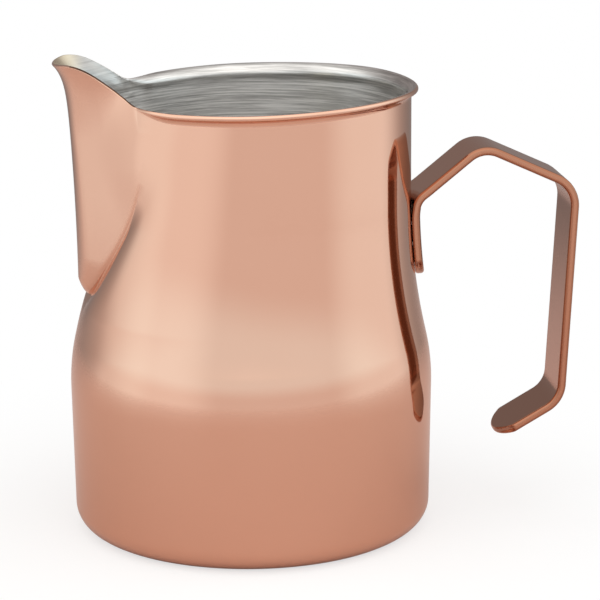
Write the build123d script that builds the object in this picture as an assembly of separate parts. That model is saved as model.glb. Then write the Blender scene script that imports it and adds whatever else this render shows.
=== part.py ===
from build123d import *
import math
import os

os.makedirs("parts", exist_ok=True)

# Milk frothing jug in millimetres. The origin is the middle of the base on the table,
# +Z is up, the handle points along +X and the spout along -X.

# Sheet
wall = 1.0                   # drawn steel of the body and the spout

# Body, outside sizes
neck_radius = 38.0
belly_bulge = 5.0            # how much the belly stands out from the neck, at belly_height
belly_height = 35.0
belly_round = 40.0           # radius of the belly's bulge, seen from the side
neck_start = 78.4            # height where the shoulder ends and the straight neck begins
lower_taper = 0.9            # degrees that the wall below the belly draws in
corner_radius = 4.5          # round edge of the base
base_ring = 7.0              # width of the flat ring that the jug stands on
base_recess = 0.8            # how far the middle of the base stands clear of the table

# Rim
rim_height = 103.6           # lip's outer edge over the axis
rim_flare = 1.4              # how far the lip turns out from the neck
flare_height = 3.2           # height over which it turns out
rim_slope = 1.45             # degrees, rising towards the handle
slope_band = 3.0             # straight neck that leans with the rim

# Spout
spout_angle = 40.0           # where the flat flanks leave the neck, degrees from -X
flank_depth = 0.2            # how deep the flanks start below the neck's surface
spout_drop = 48.6            # from the rim down to the bottom of the beak
foot_round = 6.0             # round edge of the beak's bottom
foot_nose = 28.3             # radius of the beak's nose at its bottom, seen from above
beak_noses = [               # height above the rim, radius of the nose there
    (-28.6, 27.6),
    (-11.6, 25.7),
    (1.4, 22.7),
]
lip_noses = [                # the same above the beak, where the nose sharpens and leans out
    (4.6, 20.1),
    (6.7, 14.9),
    (9.9, 5.0),
]
lip_edge = [                 # top edge seen from the side: reach beyond the neck, height above the rim
    (-14.0, -0.3),
    (-11.5, 0.5),
    (-8.0, 3.3),
    (-2.0, 7.2),
    (3.2, 8.3),
    (6.5, 7.8),
    (12.0, 5.5),
]
seam_lap = 5.3               # how far the weld seam's sides lie beyond the flanks, degrees
seam_straight = 12.1         # its straight sides below the rim, above a half ellipse
seam_rise = 0.5              # its lowest point, above the bottom of the beak
seam_width = 0.8

# Handle, a flat bar
strap_width = 16.0
strap_thickness = 2.0
strap_edge = 0.5                       # rounding along the bar's edges
tab_gap = 0.15                         # room for the weld between the tab and the shoulder
tab_length = 19.1                      # down from the start of the neck
apex_out, apex_up = 15.2, 12.3         # from the top of the tab
shoulder_out, shoulder_up = 37.6, 2.1  # outer corner, from the top of the tab
heel_out, heel_down = 34.8, 50.0       # lower bend, from the top of the tab
hook_out, hook_down = 19.7, 58.7       # end of the hook, from the top of the tab
bend_radii = [3.5, 6.5, 3.8, 7.0]      # tab, apex, outer corner and heel, at mid thickness
end_bow = 4.2                          # how far the middle of the bar's ends stands out
weld_diameter = 4.0
weld_pitch = 5.0
weld_count = 3

# Worked out from the sizes above
belly_radius = neck_radius + belly_bulge
taper = math.radians(lower_taper)
shoulder_turn = 2 * math.atan2(belly_bulge, neck_start - belly_height)
shoulder_round = (neck_start - belly_height) / math.sin(shoulder_turn) - belly_round
flare_turn = 2 * math.atan2(rim_flare, flare_height)
flare_round = flare_height / math.sin(flare_turn)
rim_joint = rim_height - flare_height - slope_band
spout_foot = rim_height - spout_drop
seam_foot = spout_foot + seam_rise
seam_middle = rim_height - seam_straight
seam_half_width = neck_radius * math.sin(math.radians(spout_angle + seam_lap))
beyond = belly_radius / 2    # cutters and voids reach this far past what they cut


def polar(centre, radius, angle):
    return (centre[0] + radius * math.cos(angle), centre[1] + radius * math.sin(angle))


def arc(centre, radius, start, end):
    points = [polar(centre, radius, start + (end - start) * step) for step in (0, 0.5, 1)]
    return ThreePointArc(*points)


def spin(edges):
    return revolve(Plane.XZ * make_face(edges), Axis.Z)


belly_centre = (belly_radius - belly_round, belly_height)
shoulder_centre = (neck_radius + shoulder_round, neck_start)


def corner_centre():
    """Middle of the base's round edge, which the tapered wall below the belly meets."""
    wall_end = polar(belly_centre, belly_round, -taper)
    along = (wall_end[1] + corner_radius * (math.sin(taper) - 1)) / math.cos(taper)
    return (wall_end[0] - along * math.sin(taper) - corner_radius * math.cos(taper), corner_radius)


def body_radius(height):
    """Outside radius of the shoulder and neck at a height."""
    if height >= neck_start:
        return neck_radius
    drop = min((neck_start - height) / shoulder_round, math.sin(shoulder_turn))
    return shoulder_centre[0] - shoulder_round * math.sqrt(1 - drop * drop)


def lower_solid(inset):
    """The filled body from its base to above rim_joint, its surface moved in by inset."""
    corner = corner_centre()
    ring_inside = corner[0] - base_ring
    top = rim_joint + beyond
    corner_arc = arc(corner, corner_radius - inset, -math.pi / 2, -taper)
    belly_arc = arc(belly_centre, belly_round - inset, -taper, shoulder_turn)
    shoulder_arc = arc(shoulder_centre, shoulder_round + inset, math.pi + shoulder_turn, math.pi)
    floor = Polyline(
        (0, top),
        (0, base_recess + inset),
        (ring_inside - 2 * base_recess, base_recess + inset),
        (ring_inside, inset),
        (corner[0], inset),
    )
    neck = Polyline((neck_radius - inset, neck_start), (neck_radius - inset, top), (0, top))
    return spin(floor + corner_arc + Line(corner_arc @ 1, belly_arc @ 0) + belly_arc + shoulder_arc + neck)


def rim_solid(inset):
    """The filled rim about its own leaning axis, from below rim_joint to the lip."""
    centre = (neck_radius + flare_round, slope_band)
    flare = arc(centre, flare_round + inset, math.pi, math.pi - flare_turn)
    lip_in = polar(centre, flare_round + wall, math.pi - flare_turn)
    side = neck_radius - inset
    below = Polyline((0, -beyond), (side, -beyond), (side, slope_band))
    if inset:
        high = lip_in[1] + beyond
        above = Polyline(lip_in, (lip_in[0], high), (0, high), (0, -beyond))
    else:
        lip_middle = polar(centre, flare_round + wall / 2, math.pi - flare_turn)
        lip_tip = polar(lip_middle, wall / 2, math.pi / 2 - flare_turn)
        lip = ThreePointArc(flare @ 1, lip_tip, lip_in)
        above = lip + Polyline(lip_in, (0, lip_in[1]), (0, -beyond))
    mouth = Box(
        2 * belly_radius, 2 * seam_half_width, 4 * beyond,
        align=(Align.MAX, Align.CENTER, Align.CENTER),
    )
    leaning = Pos(0, 0, rim_joint) * Rot(0, -rim_slope, 0)
    return leaning * (spin(below + flare + above) - mouth)


def round_solid(inset):
    """Body and rim, met on the plane that halves the rim's lean."""
    half = math.radians(rim_slope) / 2
    mitre = Plane((0, 0, rim_joint), z_dir=(-math.sin(half), 0, math.cos(half)))
    lower = split(lower_solid(inset), mitre, keep=Keep.BOTTOM)
    return lower + split(rim_solid(inset), mitre, keep=Keep.TOP)


def spout_section(height, nose_round, inset):
    """A nose arc and two flat flanks, which lap along the neck just below its surface."""
    angle = math.radians(spout_angle)
    flank = neck_radius - flank_depth
    centre = ((nose_round - flank) / math.cos(angle), 0)
    nose = arc(centre, nose_round - inset, math.pi - angle, math.pi + angle)
    lap = angle + 2 * math.radians(seam_lap)
    left = arc((0, 0), flank - inset, math.pi - lap, math.pi - angle)
    right = arc((0, 0), flank - inset, math.pi + angle, math.pi + lap)
    flanks = Line(left @ 1, nose @ 0) + Line(nose @ 1, right @ 0)
    outline = left + nose + flanks + right + Line(right @ 1, left @ 0)
    return Plane.XY.offset(height) * make_face(outline)


def spout_solid(inset):
    """The filled beak, rounded at its foot, taller than its lip."""
    foot = spout_section(spout_foot + inset, foot_nose, inset)
    sides = [spout_section(rim_height + up, nose, inset) for up, nose in beak_noses]
    lip = [spout_section(rim_height + up, nose, inset) for up, nose in lip_noses]
    beak = loft([foot] + sides)
    foot_edges = beak.edges().group_by(Axis.Z)[0].sort_by(Axis.X)[:-1]
    return fillet(foot_edges, foot_round - inset) + loft(sides[-1:] + lip)


def above_lip():
    """Everything above the edge of the spout's lip."""
    points = [(-neck_radius - out, rim_height + up) for out, up in lip_edge]
    high = rim_height + 2 * beyond
    edge = Spline(*points)
    outline = edge + Polyline(points[-1], (points[-1][0], high), (points[0][0], high), points[0])
    return extrude(Plane.XZ * make_face(outline), belly_radius, both=True)


def seam_outline(grow):
    """A prism along -X whose front view is the outline of the spout's weld seam."""
    half_width = seam_half_width + grow
    drop = seam_middle - seam_foot + grow
    high = rim_height + 2 * beyond
    bowl = EllipticalCenterArc((0, seam_middle), half_width, drop, start_angle=180, arc_size=180)
    sides = Polyline(
        (half_width, seam_middle),
        (half_width, high),
        (-half_width, high),
        (-half_width, seam_middle),
    )
    return extrude(Plane.YZ * make_face(bowl + sides), -2 * belly_radius)


def shell():
    """Body, seam and spout in one wall, before they are parted."""
    outside = round_solid(0) + spout_solid(0)
    inside = round_solid(wall) + spout_solid(wall)
    return outside - inside - above_lip()


def strap_path():
    """Middle line of the bar, from the bottom of the tab to the end of the hook."""
    middle = tab_gap + strap_thickness / 2
    top = neck_start
    top_x = body_radius(top) + middle
    bottom = top - tab_length
    points = [
        (body_radius(bottom) + middle, 0, bottom),
        (top_x, 0, top),
        (top_x + apex_out, 0, top + apex_up),
        (top_x + shoulder_out, 0, top + shoulder_up),
        (top_x + heel_out, 0, top - heel_down),
        (top_x + hook_out, 0, top - hook_down),
    ]
    return FilletPolyline(*points, radius=bend_radii)


def end_trim(end, inward):
    """What to cut from an end of the bar so that it is round, seen flat on."""
    across = Vector(0, 1, 0)
    radius = (end_bow**2 + (strap_width / 2) ** 2) / (2 * end_bow)
    flat = Plane(end, x_dir=inward, z_dir=inward.cross(across))
    square = Rectangle(2 * end_bow, 2 * strap_width)
    disc = Pos(radius, 0) * Circle(radius)
    return extrude(flat * (square - disc), 2 * strap_thickness, both=True)


def handle_strap():
    path = strap_path()
    start = Plane(path @ 0, x_dir=(0, 1, 0), z_dir=path % 0)
    bar = sweep(start * RectangleRounded(strap_width, strap_thickness, strap_edge), path=path)
    return bar - end_trim(path @ 0, path % 0) - end_trim(path @ 1, -(path % 1))


def weld_spots(body, strap):
    """Spots in a column up the tab, filling the gap between it and the body."""
    spots = []
    lowest = neck_start - tab_length / 2 - weld_pitch * (weld_count - 1) / 2
    for index in range(weld_count):
        height = lowest + weld_pitch * index
        rod = Cylinder(weld_diameter / 2, 4 * strap_thickness, rotation=(0, 90, 0))
        spot = Pos(body_radius(height), 0, height) * rod - body - strap
        spots.append(spot.solids().sort_by(Axis.X)[0])
    return spots


whole = shell()
seam_inner = seam_outline(0)
seam_outer = seam_outline(seam_width)
spout = whole & seam_inner
spout_weld_seam = (whole & seam_outer) - seam_inner
jug_body = whole - seam_outer
strap = handle_strap()
welds = weld_spots(lower_solid(0), strap)

below_rim = Cylinder(belly_radius, rim_height, align=(Align.CENTER, Align.CENTER, Align.MIN))
print("brim capacity, ml:", round((round_solid(wall) & below_rim).volume / 1000))

nodes = {
    "jug_body": jug_body,
    "spout": spout,
    "spout_weld_seam": spout_weld_seam,
    "handle_strap": strap,
    "handle_weld_spots": Compound(children=welds),
}
for name, shape in nodes.items():
    print(name, len(shape.solids()), round(shape.volume))
    export_step(shape, f"parts/{name}.step")
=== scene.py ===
import math

import bpy
import numpy as np
from mathutils import Matrix, Vector


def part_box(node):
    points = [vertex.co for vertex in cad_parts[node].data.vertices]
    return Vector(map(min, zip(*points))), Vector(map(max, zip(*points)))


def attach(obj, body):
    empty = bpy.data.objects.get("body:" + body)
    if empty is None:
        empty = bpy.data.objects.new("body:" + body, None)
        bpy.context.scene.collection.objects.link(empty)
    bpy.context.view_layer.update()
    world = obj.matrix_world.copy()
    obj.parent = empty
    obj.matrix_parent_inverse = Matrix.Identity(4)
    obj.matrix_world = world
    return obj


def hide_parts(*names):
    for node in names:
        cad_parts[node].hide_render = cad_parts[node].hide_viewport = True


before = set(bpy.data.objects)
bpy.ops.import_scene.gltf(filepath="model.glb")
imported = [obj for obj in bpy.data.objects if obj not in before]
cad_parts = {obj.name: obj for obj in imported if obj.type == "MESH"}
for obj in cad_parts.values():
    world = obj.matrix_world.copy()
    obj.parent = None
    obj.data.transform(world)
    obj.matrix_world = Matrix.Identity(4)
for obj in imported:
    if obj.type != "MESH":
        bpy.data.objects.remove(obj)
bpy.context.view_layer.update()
mm = 0.001
print("frame loaded with", len(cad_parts), "nodes")


def addObject(name, data):
    item = bpy.data.objects.new(name, data)
    bpy.context.scene.collection.objects.link(item)
    return item


# small helpers for node trees

def addNode(tree, kind, **settings):
    node = tree.nodes.new(kind)
    for name, value in settings.items():
        setattr(node, name, value)
    return node


def feed(tree, target, value):
    if isinstance(value, bpy.types.NodeSocket):
        tree.links.new(value, target)
    else:
        target.default_value = value


def feedAll(tree, targets, values):
    for target, value in zip(targets, values):
        feed(tree, target, value)


def maths(tree, operation, *values):
    node = addNode(tree, "ShaderNodeMath", operation=operation)
    feedAll(tree, node.inputs, values)
    return node.outputs[0]


def vectorMaths(tree, operation, first, second=None, scale=None):
    node = addNode(tree, "ShaderNodeVectorMath", operation=operation)
    feed(tree, node.inputs[0], first)
    if second is not None:
        feed(tree, node.inputs[1], second)
    if scale is not None:
        feed(tree, node.inputs["Scale"], scale)
    return node.outputs["Value" if operation in ("DOT_PRODUCT", "LENGTH") else "Vector"]


def ease(tree, value, low, high, start, end):  # smooth step from start to end
    node = addNode(tree, "ShaderNodeMapRange", interpolation_type="SMOOTHSTEP")
    feedAll(tree, node.inputs, (value, low, high, start, end))
    return node.outputs["Result"]


def combine(tree, x, y, z):
    node = addNode(tree, "ShaderNodeCombineXYZ")
    feedAll(tree, node.inputs, (x, y, z))
    return node.outputs[0]


def separate(tree, vector):
    node = addNode(tree, "ShaderNodeSeparateXYZ")
    feed(tree, node.inputs[0], vector)
    return node.outputs


def noise(tree, vector, scale, detail=2.0, roughness=0.5):
    node = addNode(tree, "ShaderNodeTexNoise")
    feed(tree, node.inputs["Vector"], vector)
    node.inputs["Scale"].default_value = scale
    node.inputs["Detail"].default_value = detail
    node.inputs["Roughness"].default_value = roughness
    return node.outputs["Fac"]


noiseRange = (0.3, 0.7)   # most of a noise lies between these


def spread(tree, grain, low, high):  # noise spread over a range
    return ease(tree, grain, *noiseRange, low, high)


def mixColours(tree, share, first, second):
    node = addNode(tree, "ShaderNodeMix", data_type="RGBA")
    feed(tree, node.inputs[0], share)
    feed(tree, node.inputs[6], first)
    feed(tree, node.inputs[7], second)
    return node.outputs[2]


def mixNumbers(tree, share, first, second):
    node = addNode(tree, "ShaderNodeMix", data_type="FLOAT")
    feed(tree, node.inputs[0], share)
    feed(tree, node.inputs[2], first)
    feed(tree, node.inputs[3], second)
    return node.outputs[0]


def bump(tree, height, distance):
    node = addNode(tree, "ShaderNodeBump")
    node.inputs["Distance"].default_value = distance
    feed(tree, node.inputs["Height"], height)
    return node.outputs["Normal"]


def metal(name):
    material = bpy.data.materials.new(name)
    material.use_nodes = True
    tree = material.node_tree
    shader = tree.nodes["Principled BSDF"]
    shader.inputs["Metallic"].default_value = 1.0
    place = addNode(tree, "ShaderNodeTexCoord").outputs["Object"]
    return material, tree, shader, place


# finishes

copper = {
    "light": (0.785, 0.49, 0.365, 1),
    "deep": (0.76, 0.465, 0.34, 1),
    "patch": 45,                 # cloudy change of tone, per metre
    "gloss": (0.035, 0.075),     # roughness, lowest and highest
    "grain": 700,
    "wave": 38,                  # slow waviness of the drawn sheet
    "waveDepth": 0.012 * mm,
}


def copperFinish():
    material, tree, shader, place = metal("copperFinish")
    tone = noise(tree, place, copper["patch"], detail=3)
    feed(tree, shader.inputs["Base Color"], mixColours(tree, tone, copper["deep"], copper["light"]))
    grain = noise(tree, place, copper["grain"], detail=4, roughness=0.7)
    feed(tree, shader.inputs["Roughness"], spread(tree, grain, *copper["gloss"]))
    wave = noise(tree, place, copper["wave"], detail=1)
    feed(tree, shader.inputs["Normal"], bump(tree, wave, copper["waveDepth"]))
    return material


steel = {
    "light": (0.88, 0.865, 0.84, 1),
    "dark": (0.42, 0.41, 0.395, 1),
    "golden": (0.90, 0.82, 0.63, 1),     # heat tint at the tip of the spout
    "tint": (-37 * mm, -43 * mm),
    "roundStroke": 2.5,                  # brush strokes round the neck, per radian
    "strokeLines": 2600,                 # lines per metre across the strokes
    "strokeDepth": 0.004 * mm,
    "contrast": (0.28, 0.72),            # stretch of the noise that goes from dark to light
    "spoutBack": (-29 * mm, -32 * mm),   # fainter strokes inside the spout
    "spoutFoot": (56 * mm, 62 * mm),
    "spoutFaint": 0.65,
    "band": (100.5 * mm, 102.0 * mm),    # smoother flare of the rim
    "gloss": (0.42, 0.55),
    "bandGloss": 0.30,
    "stretch": 0.6,                      # light spreads across the strokes
    "stretchTurn": 0.25,
}


def steelInside():
    material, tree, shader, place = metal("brushedSteel")
    shader.inputs["Anisotropic"].default_value = steel["stretch"]
    shader.inputs["Anisotropic Rotation"].default_value = steel["stretchTurn"]
    turning = addNode(tree, "ShaderNodeTangent", direction_type="RADIAL", axis="Z")
    tree.links.new(turning.outputs[0], shader.inputs["Tangent"])
    x, y, z = separate(tree, place)

    # level strokes round the axis, fainter inside the spout
    outwards = vectorMaths(tree, "NORMALIZE", combine(tree, x, y, 0.0))
    around = vectorMaths(tree, "SCALE", outwards, scale=steel["roundStroke"])
    lines = combine(tree, 0.0, 0.0, maths(tree, "MULTIPLY", z, steel["strokeLines"]))
    strokes = noise(tree, vectorMaths(tree, "ADD", around, lines), 1, detail=4, roughness=0.65)
    towardsTip = ease(tree, x, *steel["spoutBack"], 0.0, 1.0)
    aboveFoot = ease(tree, z, *steel["spoutFoot"], 0.0, 1.0)
    inSpout = maths(tree, "MULTIPLY", towardsTip, aboveFoot)
    strongest = maths(tree, "MULTIPLY_ADD", inSpout, -steel["spoutFaint"], 1.0)
    shade = ease(tree, strokes, *steel["contrast"], 0.0, strongest)
    brushed = mixColours(tree, shade, steel["dark"], steel["light"])
    tinted = ease(tree, x, *steel["tint"], 0.0, 1.0)
    feed(tree, shader.inputs["Base Color"], mixColours(tree, tinted, brushed, steel["golden"]))

    inBand = ease(tree, z, *steel["band"], 0.0, 1.0)
    satin = spread(tree, strokes, *steel["gloss"])
    feed(tree, shader.inputs["Roughness"], mixNumbers(tree, inBand, satin, steel["bandGloss"]))
    feed(tree, shader.inputs["Normal"], bump(tree, strokes, steel["strokeDepth"]))
    return material


cutEdge = {
    "light": (0.30, 0.15, 0.09, 1),
    "burnt": (0.09, 0.04, 0.025, 1),
    "grain": 900,
    "gloss": (0.3, 0.5),
    "angles": (math.radians(13), math.radians(37)),   # bare along the spout's lip, on both sides
    "rows": 3,                                        # each way from the crest of the lip
}


def cutEdgeFinish():
    material, tree, shader, place = metal("cutEdge")
    grain = noise(tree, place, cutEdge["grain"], detail=3)
    feed(tree, shader.inputs["Base Color"], mixColours(tree, grain, cutEdge["burnt"], cutEdge["light"]))
    feed(tree, shader.inputs["Roughness"], spread(tree, grain, *cutEdge["gloss"]))
    return material


weld = {
    "light": (0.34, 0.27, 0.23, 1),
    "burnt": (0.14, 0.10, 0.09, 1),
    "grain": 1400,
    "gloss": (0.4, 0.65),
    "depth": 0.04 * mm,
}


def weldFinish():
    material, tree, shader, place = metal("weldMetal")
    grain = noise(tree, place, weld["grain"], detail=4, roughness=0.6)
    feed(tree, shader.inputs["Base Color"], mixColours(tree, grain, weld["burnt"], weld["light"]))
    feed(tree, shader.inputs["Roughness"], spread(tree, grain, *weld["gloss"]))
    feed(tree, shader.inputs["Normal"], bump(tree, grain, weld["depth"]))
    return material


copperCoat = copperFinish()
brushedSteel = steelInside()
darkEdge = cutEdgeFinish()
weldMetal = weldFinish()
print("finishes made")


# the sheet of the body, seam and spout, as one outside surface

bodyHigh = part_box("jug_body")[1]
sheet = {
    "wall": 1.0 * mm,
    "bellyRadius": bodyHigh.y,
    "bellyBulge": 5.0 * mm,
    "bellyHeight": 35.0 * mm,
    "bellyRound": 50.0 * mm,
    "neckStart": 78.4 * mm,
    "lowerTaper": math.radians(0.9),
    "rimCrest": 104.8 * mm,        # top of the rolled lip, on the axis
    "rimSlope": math.radians(1.45),
    "rimDip": 0.45 * mm,           # a little lower at the handle
    "dipFade": (math.radians(140), math.radians(180)),
    "flareRound": 1.7 * mm,        # the lip curls out on this radius
    "flareTurn": math.radians(72),
    "flareFade": (math.radians(32), math.radians(58)),    # less and less towards the spout
    "lipWalls": (0.65 * mm, 1.25 * mm),                   # at the spout, and at the handle
    "lipHeight": 3.5 * mm,
    "pinch": 4.1 * mm,             # the mouth is drawn in beside the spout
    "pinchFade": (math.radians(34), math.radians(96)),
    "pinchStart": 54.0 * mm,
    "pinchRise": 53.0 * mm,
    "pinchShape": 1.25,
    "levelHeights": (94.0 * mm, 99.0 * mm),   # below, and round the spout, the wall is measured level
    "levelAngles": (1.0, 1.25),
}
beak = {
    "flankAngles": (math.radians(37), math.radians(44)),   # low down, and at the lip
    "flankDistances": (35.0 * mm, 34.2 * mm),              # from the axis
    "flankLevels": (93.0 * mm, 111.0 * mm),
    "footTurn": math.radians(5),   # flanks turn to the front towards the foot
    "footTurnLevels": (56.0 * mm, 67.0 * mm),
    "footTop": 61.0 * mm,
    "footShape": 1.3,
    "footStep": 0.3 * mm,          # the foot stands this far out of the groove
    "reach": 2.65 * mm,            # nose beyond the neck, low down
    "reachStart": 60.0 * mm,       # above this the nose leans out
    "reachLean": 0.00078 / mm,
    "noseRounds": (3.0 * mm, 60.0 * mm),   # tightest and widest
    "lipReach": 2.6 * mm,          # the pouring lip turns out by this
    "lipTurns": (3.0 * mm, 4.2 * mm),      # quickly at the tip, slowly at the sides
    "lipSlowing": 3,
    "lipFade": (math.radians(10), math.radians(36)),
    "lip": [                       # degrees from the nose, mm above the rim
        (0, 7.7), (7, 8.0), (12, 8.25), (16, 7.75), (20, 6.65), (23, 5.5), (26, 4.3), (29, 3.1), (32, 2.0),
        (35, 1.0), (39, 0.3), (43, 0.1), (50, 0),
    ],
}
crease = {                         # where the spout meets the barrel, a pointed oval seen from the front
    "halfWidth": 23.6 * mm,
    "middle": 93.0 * mm,
    "foot": 56.4 * mm,
    "shape": 1.48,
    "narrowing": 2.6 * mm,         # it draws together towards the mouth
    "narrowingLevels": (93.0 * mm, 107.0 * mm),
    "groove": 2.0 * mm,            # the barrel dips beside it
    "grooveWidth": 9.5 * mm,
    "edgeWidth": 0.35 * mm,        # and the spout rolls over into it
    "fade": (76.0 * mm, 97.0 * mm),
    "softness": (0.25 * mm, 3.0 * mm),     # crisp low down, soft near the rim
    "softLevels": (68.0 * mm, 92.0 * mm),
}
seam = {
    "halfWidth": 38.0 * mm * math.sin(math.radians(45.3)),
    "middle": 91.5 * mm,
    "foot": 55.5 * mm,
    "width": 0.8 * mm,
}

neckRadius = sheet["bellyRadius"] - sheet["bellyBulge"]
shoulderRise = sheet["neckStart"] - sheet["bellyHeight"]
shoulderTurn = 2 * math.atan2(sheet["bellyBulge"], shoulderRise)
shoulderRound = shoulderRise / math.sin(shoulderTurn) - sheet["bellyRound"]


def smoothStep(low, high, x):
    t = np.clip((x - low) / (high - low), 0, 1)
    return t * t * (3 - 2 * t)


def smoothThrough(points, x):  # smooth line through a few points, level at its ends
    px, py = (np.array(column, float) for column in zip(*points))
    slope = np.gradient(py, px)
    slope[0] = slope[-1] = 0
    x = np.clip(x, px[0], px[-1])
    i = np.clip(np.searchsorted(px, x, side="right") - 1, 0, len(px) - 2)
    span = px[i + 1] - px[i]
    t = (x - px[i]) / span
    ends = (2 * t**3 - 3 * t**2 + 1) * py[i] + (3 * t**2 - 2 * t**3) * py[i + 1]
    return ends + span * ((t**3 - 2 * t**2 + t) * slope[i] + (t**3 - t**2) * slope[i + 1])


def unit(vectors):
    return vectors / np.linalg.norm(vectors, axis=-1, keepdims=True)


upAxis = np.array([0.0, 0.0, 1.0])


def outFrom(angle):  # level way out from the axis, counted from the spout
    return np.stack([-np.cos(angle), -np.sin(angle), np.zeros_like(angle)], -1)


def fromNose(angle):  # 0 at the spout, pi at the handle
    turned = np.abs(angle) % (2 * math.pi)
    return np.minimum(turned, 2 * math.pi - turned)


def bodyRadius(z):  # straight taper, round belly and hollow shoulder, each clipped where another holds
    bellyMiddle = sheet["bellyRadius"] - sheet["bellyRound"]
    bellyStart = sheet["bellyHeight"] - sheet["bellyRound"] * math.sin(sheet["lowerTaper"])
    bellyEnd = sheet["bellyHeight"] + sheet["bellyRound"] * math.sin(shoulderTurn)
    startRadius = bellyMiddle + sheet["bellyRound"] * math.cos(sheet["lowerTaper"])
    lower = startRadius - (bellyStart - z) * math.tan(sheet["lowerTaper"])
    off = np.clip((z - sheet["bellyHeight"]) / sheet["bellyRound"], -0.9, 0.9)
    belly = bellyMiddle + sheet["bellyRound"] * np.sqrt(1 - off**2)
    drop = np.clip((sheet["neckStart"] - z) / shoulderRound, 0, 0.9)
    shoulder = neckRadius + shoulderRound * (1 - np.sqrt(1 - drop**2))
    return np.where(z < bellyStart, lower, np.where(z < bellyEnd, belly, shoulder))


def curled(t):  # how far the lip turns out, not at all on the spout
    return sheet["flareTurn"] * smoothStep(*sheet["flareFade"], t)


def lipWall(t):
    thin, thick = sheet["lipWalls"]
    return thin + (thick - thin) * smoothStep(*sheet["flareFade"], t)


def topHeight(t):  # top of the outside, under the round lip
    plane = sheet["rimCrest"] - np.cos(t) * neckRadius * math.tan(sheet["rimSlope"])
    plane = plane - sheet["rimDip"] * smoothStep(*sheet["dipFade"], t)
    crest = plane + smoothThrough(beak["lip"], np.degrees(t)) * mm
    return crest - lipWall(t) / 2 * (1 + np.sin(curled(t)))


def pinched(t, z):
    rise = np.maximum((z - sheet["pinchStart"]) / sheet["pinchRise"], 0)
    return sheet["pinch"] * (1 - smoothStep(*sheet["pinchFade"], t)) * rise ** sheet["pinchShape"]


def creaseLeft(z):  # the groove dies out towards the rim
    return 1 - smoothStep(*crease["fade"], z)


def creaseWidths(z):  # half width of the oval, and how far below its middle
    half = crease["halfWidth"] - crease["narrowing"] * smoothStep(*crease["narrowingLevels"], z)
    below = np.maximum(crease["middle"] - z, 0) / (crease["middle"] - crease["foot"])
    return half, below


def creaseLine(z):  # angle and radius of the crease, which settle in a few rounds
    half, below = creaseWidths(z)
    across = half * np.clip(1 - below ** crease["shape"], 0, 1) ** (1 / crease["shape"])
    barrel = bodyRadius(z) - crease["groove"] * creaseLeft(z)
    radius = barrel
    for step in range(6):
        angle = np.arcsin(np.clip(across / radius, 0, 0.95))
        radius = barrel - pinched(angle, z)
    return angle, radius


def fromCrease(y, z):  # distance from the crease, less than 0 on the spout
    half, below = creaseWidths(z)
    shape = crease["shape"]
    value = (y / half) ** shape + below**shape - 1
    sideways = (y / half) ** (shape - 1) / half
    upwards = below ** (shape - 1) / (crease["middle"] - crease["foot"])
    return value / np.maximum(shape * np.hypot(sideways, upwards), 1.0)


def noseRadius(z):
    lean = np.maximum(z - beak["reachStart"], 0)
    nose = neckRadius + beak["reach"] + beak["reachLean"] * lean**2
    footRadius = float(bodyRadius(np.array(crease["foot"]))) - crease["groove"] + beak["footStep"]
    under = np.clip((beak["footTop"] - z) / (beak["footTop"] - crease["foot"]), 0, 1)
    shape = beak["footShape"]
    return nose - (nose - footRadius) * (1 - (1 - under**shape) ** (1 / shape))


def beakRadius(t, z):  # two flat flanks and a nose between them
    share = smoothStep(*beak["flankLevels"], z)
    a, flank = (low + (high - low) * share for low, high in (beak["flankAngles"], beak["flankDistances"]))
    a = a - beak["footTurn"] * (1 - smoothStep(*beak["footTurnLevels"], z))
    nose = noseRadius(z)
    noseRound = np.clip((flank / np.cos(a) - nose) / (1 / np.cos(a) - 1), *beak["noseRounds"])
    middle = nose - noseRound
    flank = middle * np.cos(a) + noseRound
    touch = np.arctan2(noseRound * np.sin(a), middle + noseRound * np.cos(a))
    onNose = middle * np.cos(t) + np.sqrt(np.maximum(noseRound**2 - (middle * np.sin(t))**2, 0))
    onFlank = flank / np.cos(np.clip(a - t, 0, a))
    pastFlank = flank * np.cos(np.clip(t - a, 0, 1.5))**2
    aside = smoothStep(*beak["lipFade"], t)
    quick, slow = beak["lipTurns"]
    lipTurn = quick + (slow - quick) * np.minimum(beak["lipSlowing"] * aside, 1)
    rise = np.minimum(z - topHeight(t), 1 * mm)      # no higher than just above the lip
    lip = beak["lipReach"] * (1 - aside) * np.exp(rise / lipTurn)
    return np.where(t < touch, onNose, np.where(t < a, onFlank, pastFlank)) + lip


def sheetRadius(angle, z):
    t = fromNose(angle)
    creaseAngle, creaseRadius = creaseLine(z)
    away = fromCrease(creaseRadius * np.sin(np.minimum(t, math.pi / 2)), z)
    dip = crease["groove"] * creaseLeft(z) * (1 - np.clip(away / crease["grooveWidth"], 0, 1))**3
    barrel = bodyRadius(z) - pinched(t, z) - dip
    step = np.maximum(beakRadius(creaseAngle, z) - creaseRadius, 0)
    rolled = step * np.exp(np.minimum(away, 0) / crease["edgeWidth"])
    spout = np.where(z > crease["foot"], beakRadius(t, z) - rolled, 0)

    # the larger of both, rounded where they meet
    low, high = crease["softness"]
    width = low + (high - low) * smoothStep(*crease["softLevels"], z)
    near = np.clip(1 - np.abs(barrel - spout) / width, 0, 1)
    flareRound = sheet["flareRound"]
    up = np.clip(z - topHeight(t) + flareRound * np.sin(curled(t)), 0, 0.98 * flareRound)
    flare = flareRound - np.sqrt(flareRound**2 - up**2)
    return np.maximum(barrel, spout) + width * near**3 / 6 + flare


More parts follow.
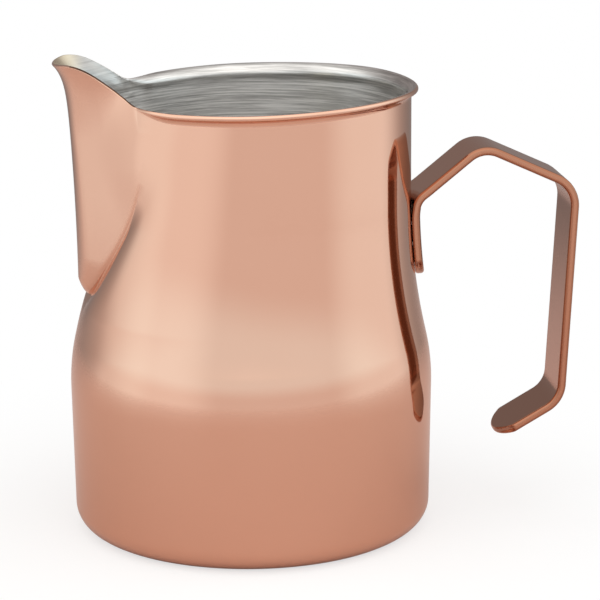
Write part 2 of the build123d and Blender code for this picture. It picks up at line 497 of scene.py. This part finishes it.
def sheetPoints(angle, z):  # points, outward normals, tangents up the wall, way through it, inside normals
    dz, da = 1e-6, 1e-5      # steps that the slopes are taken over
    r = sheetRadius(angle, z)
    rz = (sheetRadius(angle, z + dz) - sheetRadius(angle, z - dz)) / (2 * dz)
    ra = (sheetRadius(angle + da, z) - sheetRadius(angle - da, z)) / (2 * da)
    out = outFrom(angle)
    side = np.cross(upAxis, out)
    points = out * r[..., None] + upAxis * z[..., None]
    normals = unit(out - side * (ra / r)[..., None] - upAxis * rz[..., None])
    tangents = unit(out * rz[..., None] + upAxis)

    # the wall changes its thickness towards the lip
    t = fromNose(angle)
    top = topHeight(t)

    def thickness(height):
        share = smoothStep(top - sheet["lipHeight"], top, height)
        return sheet["wall"] + (lipWall(t) - sheet["wall"]) * share

    depth = thickness(z)
    growth = (thickness(z + dz) - depth) / dz
    level = (1 - smoothStep(*sheet["levelHeights"], z)) * (1 - smoothStep(*sheet["levelAngles"], t))
    inward = unit(normals * (1 - level[..., None]) + out * level[..., None]) * depth[..., None]
    insideNormals = -unit(normals + tangents * (growth * tangents[..., 2])[..., None])
    return points, normals, tangents, inward, insideNormals


# rows are shared by the three pieces, so that their edges meet point for point
rows = {
    "bowl": 60,              # round the foot of the seam
    "upper": 44,             # from there up to the lip
    "lip": 14,
    "wall": 48,              # from the base corner up to the seam
    "corner": 12,
    "spoutColumns": 40,
    "flankColumns": 12,      # between crease and seam
    "seamColumns": 4,
    "bodyColumns": 200,
    "lipCrowding": 1.6,      # how closely they crowd towards the lip, the crease and the seam's edge
    "creaseCrowding": 0.75,
    "flankCrowding": 1.5,
    "creaseShares": (0.3, 0.97),   # least and most of the way to the seam
}
bowlAngles = np.linspace(math.pi / 2, 0, rows["bowl"])
upperShares = 1 - np.linspace(1, 0, rows["upper"])[1:] ** rows["lipCrowding"]
closeness = {
    "samePoint": 1e-8,       # corners of faces this close are one point
    "joined": 1e-7,          # cut edges this close are joined
    "nudge": 1e-12,          # so that a face without an area has a normal too
}


def foldOver(points, normals, tangents, inward, insideNormals):  # outside, round lip and inside in one grid
    turns = np.linspace(0, math.pi, rows["lip"])[1:-1, None, None]
    lipNormals = np.cos(turns) * normals[-1] + np.sin(turns) * tangents[-1]
    half = np.linalg.norm(inward[-1], axis=-1, keepdims=True) / 2
    lip = points[-1] - normals[-1] * half + lipNormals * half
    grid = np.concatenate([points, lip, (points - inward)[::-1]])
    gridNormals = np.concatenate([normals, lipNormals, insideNormals[::-1]])
    outward = unit(normals[-1] * np.array([1.0, 1.0, 0.0]))
    coated = ((lipNormals * outward).sum(-1) > 0).sum(0)      # the coat ends on the lip's crest
    return grid, gridNormals, len(points) + coated


def gridFaces(grid):  # four corners for each face
    return np.stack([grid[:-1, :-1], grid[:-1, 1:], grid[1:, 1:], grid[1:, :-1]], 2).reshape(-1, 4, 3)


def gridInks(grid, steelStart, bareLip):  # 0 for copper, 1 for steel, 2 for the bare edge
    rowNumbers = np.arange(1, len(grid))[:, None]
    inks = (rowNumbers >= steelStart[:-1]).astype(int)
    if bareLip:
        low, high = cutEdge["angles"]
        middles = (grid[:-1, :-1] + grid[:-1, 1:]) / 2
        turned = np.abs(np.arctan2(middles[..., 1], -middles[..., 0]))
        nearCrest = np.abs(rowNumbers - len(grid) // 2) <= cutEdge["rows"]
        inks[nearCrest & (turned > low) & (turned < high)] = 2
    return inks.ravel()


def edgeWalls(grid):  # walls between outside and inside along both cut edges, where they lie apart
    half = len(grid) // 2
    apart = np.abs(grid[:half, 0] - grid[:half, -1]).max(-1) > closeness["joined"]
    walls = []
    for column, order in ((0, (0, 1, 2, 3)), (-1, (3, 2, 1, 0))):
        outer, inner = grid[:half, column], grid[::-1][:half, column]
        wall = np.stack([outer[:-1], outer[1:], inner[1:], inner[:-1]], 1)[:, order]
        walls.append(wall[apart[1:]])
    return np.concatenate(walls)


def sheetPiece(name, grids, bareLip=False):
    corners, cornerNormals, inks = [], [], []
    for grid, normals, steelStart in grids:
        walls = edgeWalls(grid)
        sides = np.diff(walls, axis=1) + closeness["nudge"]
        flat = unit(np.cross(sides[:, 0], sides[:, 1]))
        corners += [gridFaces(grid), walls]
        cornerNormals += [gridFaces(normals), np.repeat(flat[:, None], 4, 1)]
        inks += [gridInks(grid, steelStart, bareLip), np.ones(len(walls), int)]
    corners, cornerNormals, inks = (np.concatenate(parts) for parts in (corners, cornerNormals, inks))

    # corners at one place become one point, and faces without an area go
    keys = np.round(corners.reshape(-1, 3) / closeness["samePoint"]).astype(np.int64)
    first, index = np.unique(keys, axis=0, return_index=True, return_inverse=True)[1:]
    faces, faceNormals, faceInks = [], [], []
    for ids, normals, ink in zip(index.reshape(-1, 4).tolist(), cornerNormals, inks.tolist()):
        kept = [k for k in range(4) if ids[k] != ids[k - 1]]
        if len(set(ids[k] for k in kept)) >= 3:
            faces.append([ids[k] for k in kept])
            faceNormals.extend(normals[k] for k in kept)
            faceInks.append(ink)
    mesh = bpy.data.meshes.new(name)
    mesh.from_pydata(corners.reshape(-1, 3)[first].tolist(), [], faces)
    for finish in (copperCoat, brushedSteel, darkEdge) if bareLip else (copperCoat, brushedSteel):
        mesh.materials.append(finish)
    mesh.polygons.foreach_set("material_index", faceInks)
    mesh.shade_smooth()
    mesh.normals_split_custom_set([tuple(n) for n in faceNormals])
    return addObject(name, mesh)


def upperHeights(angles, shares):  # from the seam's bowl up to the lip
    return seam["middle"] + shares * (topHeight(fromNose(angles)) - seam["middle"])


def levelRows(edgeHeights, columns):
    return np.repeat(edgeHeights[:, None], columns, 1)


def stretched(angles, heights, start):  # rows from start on are stretched to the lip
    heights[start:] = upperHeights(angles[start:], upperShares[:, None])
    return heights


def seamSide(grow):  # angle and height of the seam's edge on each row, which settle in some rounds
    half = seam["halfWidth"] + grow
    drop = seam["middle"] - seam["foot"] + grow
    bowlHeights = seam["middle"] - drop * np.sin(bowlAngles)
    halves = np.concatenate([half * np.cos(bowlAngles), np.full(len(upperShares), half)])
    halves[0] = 0
    angles = np.arcsin(halves / neckRadius * 0.98)      # a first guess
    for step in range(30):
        heights = np.concatenate([bowlHeights, upperHeights(angles[rows["bowl"]:], upperShares)])
        angles = np.arcsin(halves / sheetRadius(angles, heights))
    return angles, heights


innerAngles, innerHeights = seamSide(0)
outerAngles, outerHeights = seamSide(seam["width"])

# spout, with its columns gathered along the crease
least, most = (share * innerAngles for share in rows["creaseShares"])
creaseAngles = np.clip(creaseLine(innerHeights)[0], least, most)[:, None]
toCrease = np.linspace(0, 1, rows["spoutColumns"] + 1) ** rows["creaseCrowding"]
toSeam = np.linspace(0, 1, rows["flankColumns"] + 1)[1:] ** rows["flankCrowding"]
flankAngles = creaseAngles + (innerAngles[:, None] - creaseAngles) * toSeam
halfAngles = np.concatenate([creaseAngles * toCrease, flankAngles], 1)
spoutAngles = np.concatenate([-halfAngles[:, :0:-1], halfAngles], 1)
spoutHeights = stretched(spoutAngles, levelRows(innerHeights, spoutAngles.shape[1]), rows["bowl"])
spoutPiece = sheetPiece("beakSpout", [foldOver(*sheetPoints(spoutAngles, spoutHeights))], bareLip=True)
print("spout made,", len(spoutPiece.data.polygons), "faces")

# weld seam, one strip on each side
inner, outer = (innerAngles, innerHeights), (outerAngles, outerHeights)
shares = np.linspace(0, 1, rows["seamColumns"] + 1)
strips = []
for side, near, far in ((1, inner, outer), (-1, outer, inner)):
    stripAngles, stripHeights = (a[:, None] * (1 - shares) + b[:, None] * shares for a, b in zip(near, far))
    stripAngles = side * stripAngles
    stripHeights = stretched(stripAngles, stripHeights, rows["bowl"])
    strips.append(foldOver(*sheetPoints(stripAngles, stripHeights)))
seamPiece = sheetPiece("spoutSeam", strips)
print("seam made,", len(seamPiece.data.polygons), "faces")


# body: base and corner rows first, then the wall

base = {
    "corner": 5.6 * mm,
    "ring": 6.0 * mm,                     # width of the flat ring that it stands on
    "recess": 0.8 * mm,
    "slope": (-2.2 * mm, 0.6 * mm),       # into the recess, from the ring's inner edge
    "floorRows": (-3.0 * mm, 8),          # where the rows of each stretch lie, and how many
    "slopeRows": (-2.6 * mm, 1.0 * mm, 12),
    "ringRows": (2.5 * mm, 3),
}


def baseRows(columns):
    cornerTop = -sheet["lowerTaper"]
    cornerHeight = base["corner"] * (1 + math.sin(cornerTop))
    cornerMiddle = float(bodyRadius(np.array(cornerHeight))) - base["corner"] * math.cos(cornerTop)
    ringInside = cornerMiddle - base["ring"]
    floorEnd, floorCount = base["floorRows"]
    slopeStart, slopeEnd, slopeCount = base["slopeRows"]
    ringStart, ringCount = base["ringRows"]
    radii = np.concatenate([
        np.linspace(0, ringInside + floorEnd, floorCount),
        np.linspace(ringInside + slopeStart, ringInside + slopeEnd, slopeCount),
        np.linspace(ringInside + ringStart, cornerMiddle, ringCount)[:-1],
    ])

    def height(radius):
        return base["recess"] * (1 - smoothStep(*(ringInside + edge for edge in base["slope"]), radius))

    dr = 1e-6
    heights = height(radii)
    lean = (height(radii + dr) - heights) / dr
    turns = np.linspace(-math.pi / 2, cornerTop, rows["corner"])
    radii = np.concatenate([radii, cornerMiddle + base["corner"] * np.cos(turns)])
    heights = np.concatenate([heights, base["corner"] * (1 + np.sin(turns))])
    outward = np.concatenate([lean, np.cos(turns)])
    upward = np.concatenate([-np.ones_like(lean), np.sin(turns)])
    out = outFrom(np.linspace(0, 2 * math.pi, columns))
    points = radii[:, None, None] * out + heights[:, None, None] * upAxis
    normals = unit(outward[:, None, None] * out + upward[:, None, None] * upAxis)
    return points, normals, 0 * normals, normals * sheet["wall"], -normals


columns = rows["bodyColumns"] + 1
baseSurface = baseRows(columns)
wallHeights = np.linspace(baseSurface[0][-1, 0, 2], outerHeights[0], rows["wall"])[1:-1]
edgeAngles = np.concatenate([np.zeros(len(wallHeights)), outerAngles])[:, None]
edgeHeights = np.concatenate([wallHeights, outerHeights])
bodyAngles = edgeAngles + (2 * math.pi - 2 * edgeAngles) * np.linspace(0, 1, columns)
bodyHeights = stretched(bodyAngles, levelRows(edgeHeights, columns), len(wallHeights) + rows["bowl"])
wallSurface = sheetPoints(bodyAngles, bodyHeights)
bodyGrid = foldOver(*(np.concatenate(parts) for parts in zip(baseSurface, wallSurface)))
bodyPiece = sheetPiece("jugBody", [bodyGrid])
print("body made,", len(bodyPiece.data.polygons), "faces")


# handle: a flat bar bent along a path, by Geometry Nodes

strapLow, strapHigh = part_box("handle_strap")
handle = {
    "width": strapHigh.y - strapLow.y,
    "thickness": 2.0 * mm,
    "edge": 0.7 * mm,                # rounding of the cut edges
    "gap": 0.15 * mm,                # between tab and shoulder
    "tabLength": 19.1 * mm,
    "tabCurve": 34.5 * mm,           # tab pressed to the round shoulder, and into its hollow
    "tabHollow": 0.3 * mm,
    "tabFade": (0.75, 1.15),         # shares of its length between which it flattens out
    "apex": (15.2 * mm, 12.3 * mm),  # corners, out and up from the top of the tab
    "shoulder": (37.6 * mm, 2.1 * mm),
    "heel": (34.8 * mm, -50.0 * mm),
    "hook": (19.7 * mm, -58.7 * mm),
    "bends": (3.5 * mm, 6.5 * mm, 7.2 * mm, 7.0 * mm),
    "endBow": 4.2 * mm,
    "rows": 420,
    "sectionStep": 0.3 * mm,
    "bendParts": 14,
    "edgeParts": 8,
}
bar = {
    "light": (0.66, 0.37, 0.26, 1),
    "deep": (0.60, 0.325, 0.225, 1),
    "inner": (0.52, 0.285, 0.20, 1),             # side towards the jug, painted darker as shade
    "innerShadeFade": (-0.5 * mm, 0.5 * mm),
    "edge": (0.37, 0.16, 0.095, 1),              # cut edges, painted darker as a dark reflection, with a painted highlight along their middle
    "edgeHighlight": (0.56, 0.28, 0.18, 1),
    "edgeFade": (0.9 * mm, 0.2 * mm),            # in from the side
    "highlightFade": (0.15 * mm, 0.65 * mm),        # out from the middle
    "along": 60,                                 # fine polishing lines run along the bar
    "across": 1500,
    "gloss": (0.07, 0.14),
    "lineDepth": 0.003 * mm,
}


def barFinish():
    material, tree, shader, place = metal("copperBar")
    along, across, through = (
        addNode(tree, "ShaderNodeAttribute", attribute_name=name).outputs["Fac"]
        for name in ("alongBar", "acrossBar", "throughBar")
    )
    pattern = combine(
        tree,
        maths(tree, "MULTIPLY", along, bar["along"]),
        maths(tree, "MULTIPLY", across, bar["across"]),
        maths(tree, "MULTIPLY", through, bar["across"]),
    )
    lines = noise(tree, pattern, 1, detail=3, roughness=0.6)
    tone = noise(tree, place, copper["patch"], detail=3)
    outer = mixColours(tree, tone, bar["deep"], bar["light"])
    # the side towards the jug gets a darker colour: painted shade
    face = mixColours(tree, ease(tree, through, *bar["innerShadeFade"], 0.0, 1.0), bar["inner"], outer)
    # cut edges: a darker colour as a painted dark reflection, and a painted highlight line along their
    # middle
    start, full = (handle["width"] / 2 - inset for inset in bar["edgeFade"])
    onEdge = ease(tree, maths(tree, "ABSOLUTE", across), start, full, 0.0, 1.0)
    onEdgeHighlight = ease(tree, maths(tree, "ABSOLUTE", through), *bar["highlightFade"], 1.0, 0.0)
    edge = mixColours(tree, onEdgeHighlight, bar["edge"], bar["edgeHighlight"])
    feed(tree, shader.inputs["Base Color"], mixColours(tree, onEdge, face, edge))
    feed(tree, shader.inputs["Roughness"], spread(tree, lines, *bar["gloss"]))
    feed(tree, shader.inputs["Normal"], bump(tree, lines, bar["lineDepth"]))
    return material


barInputs = {                        # inputs of the node tree, beside the path
    "Width": ("Float", handle["width"]),
    "Thickness": ("Float", handle["thickness"]),
    "Edge": ("Float", handle["edge"]),
    "End Bow": ("Float", handle["endBow"]),
    "Tab Length": ("Float", handle["tabLength"]),
    "Tab Curve": ("Float", handle["tabCurve"]),
    "Tab Hollow": ("Float", handle["tabHollow"]),
    "Rows": ("Int", handle["rows"]),
    "Step": ("Float", handle["sectionStep"]),
    "Finish": ("Material", barFinish()),
}


def barTree():
    tree = bpy.data.node_groups.new("bentBar", "GeometryNodeTree")
    tree.interface.new_socket("Geometry", in_out="OUTPUT", socket_type="NodeSocketGeometry")
    tree.interface.new_socket("Path", in_out="INPUT", socket_type="NodeSocketGeometry")
    sockets = {}
    for name, (kind, value) in barInputs.items():
        socket = tree.interface.new_socket(name, in_out="INPUT", socket_type="NodeSocket" + kind)
        sockets[name] = socket.identifier
    given = addNode(tree, "NodeGroupInput").outputs

    def geometry(kind, source=None, **settings):
        node = addNode(tree, kind, **settings)
        if source is not None:
            tree.links.new(source, node.inputs[0])
        return node

    def times(first, second):
        return maths(tree, "MULTIPLY", first, second)

    def minus(first, second):
        return maths(tree, "SUBTRACT", first, second)

    def over(first, second):
        return maths(tree, "DIVIDE", first, second)

    bent = geometry("GeometryNodeFilletCurve", given["Path"], mode="POLY")
    feed(tree, bent.inputs["Count"], handle["bendParts"])
    feed(tree, bent.inputs["Radius"], addNode(tree, "GeometryNodeInputRadius").outputs[0])
    length = geometry("GeometryNodeCurveLength", bent.outputs[0]).outputs[0]

    # rows along the bar, and a rounded section for each
    line = geometry("GeometryNodeResampleCurve", bent.outputs[0], mode="COUNT")
    feed(tree, line.inputs["Count"], given["Rows"])
    even = geometry("GeometryNodeSetCurveRadius", line.outputs[0])
    feed(tree, even.inputs["Radius"], 1.0)
    keepShare = geometry("GeometryNodeCaptureAttribute", even.outputs[0], domain="POINT")
    keepShare.capture_items.new("FLOAT", "share")
    tree.links.new(addNode(tree, "GeometryNodeSplineParameter").outputs["Factor"], keepShare.inputs[1])
    outline = geometry("GeometryNodeCurvePrimitiveQuadrilateral", mode="RECTANGLE")
    feed(tree, outline.inputs["Width"], given["Width"])
    feed(tree, outline.inputs["Height"], given["Thickness"])
    rounded = geometry("GeometryNodeFilletCurve", outline.outputs[0], mode="POLY")
    feed(tree, rounded.inputs["Count"], handle["edgeParts"])
    feed(tree, rounded.inputs["Radius"], given["Edge"])
    fine = geometry("GeometryNodeResampleCurve", rounded.outputs[0], mode="LENGTH")
    feed(tree, fine.inputs["Length"], given["Step"])
    keepPlace = geometry("GeometryNodeCaptureAttribute", fine.outputs[0], domain="POINT")
    keepPlace.capture_items.new("VECTOR", "place")
    tree.links.new(addNode(tree, "GeometryNodeInputPosition").outputs[0], keepPlace.inputs[1])
    skin = geometry("GeometryNodeCurveToMesh", keepShare.outputs[0])
    tree.links.new(keepPlace.outputs[0], skin.inputs["Profile Curve"])
    share = keepShare.outputs[1]
    across, through = separate(tree, keepPlace.outputs[1])[:2]

    # rows crowd towards both ends, which are bowed
    swing = maths(tree, "COSINE", times(share, math.pi))
    crowded = maths(tree, "MULTIPLY_ADD", swing, -0.5, 0.5)
    halfWidth = times(given["Width"], 0.5)
    bowSquare = times(given["End Bow"], given["End Bow"])
    bowSum = maths(tree, "MULTIPLY_ADD", halfWidth, halfWidth, bowSquare)
    bowRadius = over(bowSum, times(given["End Bow"], 2.0))
    acrossSquare = times(across, across)
    bowDepth = maths(tree, "SQRT", minus(times(bowRadius, bowRadius), acrossSquare))
    setBack = minus(bowRadius, bowDepth)
    rest = minus(length, times(setBack, 2.0))
    along = maths(tree, "MULTIPLY_ADD", crowded, rest, setBack)

    # rounded end edges, closed by a first and last row on the middle line
    mirrored = maths(tree, "MINIMUM", crowded, minus(1.0, crowded))
    short = maths(tree, "MAXIMUM", minus(given["Edge"], times(mirrored, rest)), 0.0)
    left = maths(tree, "SQRT", minus(times(given["Edge"], given["Edge"]), times(short, short)))
    inset = minus(given["Edge"], left)
    halfThickness = times(given["Thickness"], 0.5)
    notEnd = maths(tree, "GREATER_THAN", mirrored, 1e-7)
    thick = times(times(through, minus(1.0, over(inset, halfThickness))), notEnd)
    wide = times(across, minus(1.0, over(inset, halfWidth)))

    # place on the path; the tab is pressed to the round shoulder
    sample = addNode(tree, "GeometryNodeSampleCurve", mode="LENGTH", use_all_curves=True)
    tree.links.new(bent.outputs[0], sample.inputs["Curves"])
    feed(tree, sample.inputs["Length"], along)
    outward = vectorMaths(tree, "CROSS_PRODUCT", sample.outputs["Tangent"], (0.0, 1.0, 0.0))
    fadeStart, fadeEnd = (times(given["Tab Length"], part) for part in handle["tabFade"])
    onTab = ease(tree, along, fadeStart, fadeEnd, 1.0, 0.0)
    sag = over(times(acrossSquare, -0.5), given["Tab Curve"])
    midTab = maths(tree, "MULTIPLY_ADD", over(along, given["Tab Length"]), 2.0, -1.0)
    hollow = maths(tree, "MAXIMUM", minus(1.0, times(midTab, midTab)), 0.0)
    sag = minus(sag, times(hollow, given["Tab Hollow"]))
    moved = vectorMaths(tree, "SCALE", outward, scale=thick)
    moved = vectorMaths(tree, "ADD", moved, combine(tree, times(sag, onTab), wide, 0.0))
    placed = geometry("GeometryNodeSetPosition", skin.outputs[0])
    tree.links.new(vectorMaths(tree, "ADD", sample.outputs["Position"], moved), placed.inputs["Position"])
    result = placed.outputs[0]
    for name, value in (("alongBar", along), ("acrossBar", across), ("throughBar", through)):
        store = geometry("GeometryNodeStoreNamedAttribute", result, data_type="FLOAT", domain="POINT")
        store.inputs["Name"].default_value = name
        tree.links.new(value, store.inputs["Value"])
        result = store.outputs[0]
    merged = geometry("GeometryNodeMergeByDistance", result)
    feed(tree, merged.inputs["Distance"], 1e-6)
    smooth = geometry("GeometryNodeSetShadeSmooth", merged.outputs[0])
    real = geometry("GeometryNodeRealizeInstances", smooth.outputs[0])
    painted = geometry("GeometryNodeSetMaterial", real.outputs[0])
    tree.links.new(given["Finish"], painted.inputs["Material"])
    tree.links.new(painted.outputs[0], addNode(tree, "NodeGroupOutput").inputs[0])
    return tree, sockets


def handlePath():
    middle = handle["gap"] + handle["thickness"] / 2
    bottom = sheet["neckStart"] - handle["tabLength"]
    bottomRadius = float(bodyRadius(np.array(bottom)))
    points = [(bottomRadius + middle, 0, bottom), (neckRadius + middle, 0, sheet["neckStart"])]
    for corner in ("apex", "shoulder", "heel", "hook"):
        out, up = handle[corner]
        points.append((neckRadius + middle + out, 0, sheet["neckStart"] + up))
    path = bpy.data.curves.new("handlePath", "CURVE")
    path.dimensions = "3D"
    line = path.splines.new("POLY")
    line.points.add(len(points) - 1)
    for point, place, bend in zip(line.points, points, (0, *handle["bends"], 0)):
        point.co = (*place, 1)
        point.radius = bend
    return path


def plainMesh(source, name):  # what the modifiers give, as a mesh of its own
    graph = bpy.context.evaluated_depsgraph_get()
    mesh = bpy.data.meshes.new_from_object(source.evaluated_get(graph))
    mesh.name = name
    source.modifiers.clear()
    bpy.data.objects.remove(source)
    return addObject(name, mesh)


path = addObject("handlePath", handlePath())
shape = path.modifiers.new("bentBar", "NODES")
shape.node_group, sockets = barTree()
for name, (kind, value) in barInputs.items():
    shape[sockets[name]] = value
strapPiece = plainMesh(path, "handleStrap")
print("handle made,", len(strapPiece.data.polygons), "faces")


# what each piece stands for

for piece, node, slot in (
    (bodyPiece, "jug_body", "copper_finish"),
    (spoutPiece, "spout", "copper_finish"),
    (seamPiece, "spout_weld_seam", "copper_finish"),
    (strapPiece, "handle_strap", "copper_bar"),
):
    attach(piece, "root")
    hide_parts(node)
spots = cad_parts["handle_weld_spots"]      # hidden behind the tab, shown as modelled
spots.data.materials.clear()
spots.data.materials.append(weldMetal)


# studio: a pale table in a soft light tent, before a white backdrop

view = {
    "turn": math.radians(6.7),       # the handle points a little away from the camera
    "height": math.radians(13.884),
    "roll": math.radians(-0.354),
    "distance": 600 * mm,
    "target": Vector((11.749, 0, 53.837)) * mm,
    "lens": 151.47,
    "sensor": 36,
}
studio = {
    "tableRadius": 460 * mm,
    "tableFade": (70 * mm, 450 * mm),    # the table's edge is lost in the tent
    "tableColour": (0.66, 0.52, 0.48, 1),
    "floorColour": (0.95, 0.95, 0.95, 1),
    "shadowReach": (50 * mm, 140 * mm),  # a faint shadow stays round the jug
    "shadowShare": 0.35,
    "tentRadius": 1.5,
    "low": (0.87, 0.79, 0.77, 1),        # tent below the horizon
    "high": (0.965, 1.025, 1.05, 1),     # above it
    "horizon": (-0.015, 0.14),           # sines of the heights between which one turns into the other
    "roof": (1.30, 1.285, 1.26, 1),      # overhead
    "roofFade": (0.15, 0.45),
    "behind": (0.27, 0.235, 0.225, 1),   # and dark behind the jug and behind its spout
    "shades": [(180, 8, 48, 1.0), (-126, 22, 22, 0.65)],   # turn, height, half width in degrees, share
    "glows": [                           # turn from the camera, height, half width in degrees, extra light
        (-60, -5, 27, (0.17, 0.22, 0.24)),
        (-90, 1, 18, (0.05, 0.10, 0.11)),
        (94, 0, 27, (0.15, 0.24, 0.27)),
        (0, 50, 26, (0.25, 0.24, 0.23)),
    ],
    "patchFade": (1.6, 0.4),             # both end, and are full, at these shares of their half width
}


def direction(turn, height):  # from the jug, counted from the camera's side to the right
    a = math.radians(turn) - view["turn"]
    h = math.radians(height)
    return Vector((math.sin(a) * math.cos(h), -math.cos(a) * math.cos(h), math.sin(h)))


def stageMaterial(name):
    material = bpy.data.materials.new(name)
    material.use_nodes = True
    tree = material.node_tree
    tree.nodes.clear()
    place = addNode(tree, "ShaderNodeTexCoord").outputs["Object"]
    surface = addNode(tree, "ShaderNodeOutputMaterial").inputs["Surface"]
    return material, tree, place, surface


def tentLight():
    material, tree, place, surface = stageMaterial("tentLight")
    way = vectorMaths(tree, "NORMALIZE", place)
    up = separate(tree, way)[2]
    wall = mixColours(tree, ease(tree, up, *studio["horizon"], 0.0, 1.0), studio["low"], studio["high"])
    light = mixColours(tree, ease(tree, up, *studio["roofFade"], 0.0, 1.0), wall, studio["roof"])

    def toward(turn, height, half, most=1.0):  # most in this direction, easing to 0 around it
        near = vectorMaths(tree, "DOT_PRODUCT", way, direction(turn, height))
        end, full = (math.cos(math.radians(share * half)) for share in studio["patchFade"])
        return ease(tree, near, end, full, 0.0, most)

    for turn, height, half, extra in studio["glows"]:
        glow = vectorMaths(tree, "SCALE", extra, scale=toward(turn, height, half))
        light = vectorMaths(tree, "ADD", light, glow)
    for shade in studio["shades"]:
        light = mixColours(tree, toward(*shade), light, studio["behind"])
    shine = addNode(tree, "ShaderNodeEmission")
    feed(tree, shine.inputs["Color"], light)
    tree.links.new(shine.outputs[0], surface)
    return material


def tableTop():
    material, tree, place, surface = stageMaterial("paleTable")
    away = vectorMaths(tree, "LENGTH", place)
    seen = addNode(tree, "ShaderNodeLightPath").outputs

    def diffuse(colour):
        node = addNode(tree, "ShaderNodeBsdfDiffuse")
        node.inputs["Color"].default_value = colour
        return node

    def blend(share, first, second):
        node = addNode(tree, "ShaderNodeMixShader")
        feed(tree, node.inputs[0], share)
        tree.links.new(first.outputs[0], node.inputs[1])
        tree.links.new(second.outputs[0], node.inputs[2])
        return node

    # white with a faint shadow to the camera, a pale table in reflections
    shadow = ease(tree, away, *studio["shadowReach"], studio["shadowShare"], 0.0)
    backdrop = blend(shadow, addNode(tree, "ShaderNodeEmission"), diffuse(studio["floorColour"]))
    fading = ease(tree, away, *studio["tableFade"], 0.0, 1.0)
    pale = blend(fading, diffuse(studio["tableColour"]), addNode(tree, "ShaderNodeBsdfTransparent"))
    white = maths(tree, "MAXIMUM", seen["Is Camera Ray"], seen["Is Transmission Ray"])
    tree.links.new(blend(white, pale, backdrop).outputs[0], surface)
    return material


def stagePiece(name, material, points, faces):
    mesh = bpy.data.meshes.new(name)
    mesh.from_pydata(points, [], faces)
    mesh.materials.append(material)
    piece = addObject(name, mesh)
    return piece


def disc(radius, count=128):
    turns = [2 * math.pi * i / count for i in range(count)]
    return [(radius * math.cos(a), radius * math.sin(a), 0) for a in turns], [list(range(count))]


def ball(radius, around=96, levels=48):
    points = [(0, 0, -radius)]
    for j in range(1, levels):
        h = -math.pi / 2 + math.pi * j / levels
        for i in range(around):
            a = 2 * math.pi * i / around
            place = (math.cos(h) * math.cos(a), math.cos(h) * math.sin(a), math.sin(h))
            points.append(tuple(radius * c for c in place))
    points.append((0, 0, radius))
    last = len(points) - 1
    faces = []
    for i in range(around):
        k = (i + 1) % around
        faces.append((0, 1 + i, 1 + k))
        for j in range(levels - 2):
            b = 1 + j * around
            faces.append((b + i, b + around + i, b + around + k, b + k))
        b = 1 + (levels - 2) * around
        faces.append((b + i, last, b + k))
    return points, faces


stagePiece("table", tableTop(), *disc(studio["tableRadius"]))
tent = stagePiece("lightTent", tentLight(), *ball(studio["tentRadius"]))
tent.visible_camera = False          # the camera stands inside and sees the white backdrop

world = bpy.data.worlds.new("whiteBackdrop")
bpy.context.scene.world = world
world.use_nodes = True
world.node_tree.nodes["Background"].inputs["Color"].default_value = (1, 1, 1, 1)
world.node_tree.nodes["Background"].inputs["Strength"].default_value = 1.0
print("studio made")


# camera, at the photograph's angle

camera = addObject("camera", bpy.data.cameras.new("camera"))
camera.data.lens = view["lens"]
camera.data.sensor_width = view["sensor"]
back = Vector((0, -math.cos(view["height"]), math.sin(view["height"])))
right = Vector((1, 0, 0))
upward = back.cross(right)
rolled = (
    right * math.cos(view["roll"]) + upward * math.sin(view["roll"]),
    upward * math.cos(view["roll"]) - right * math.sin(view["roll"]),
    back,
)
pose = Matrix(rolled).transposed().to_4x4()
pose.translation = view["target"] + back * view["distance"]
camera.matrix_world = Matrix.Rotation(-view["turn"], 4, "Z") @ pose
bpy.context.scene.camera = camera
bpy.context.scene.view_settings.view_transform = "Standard"
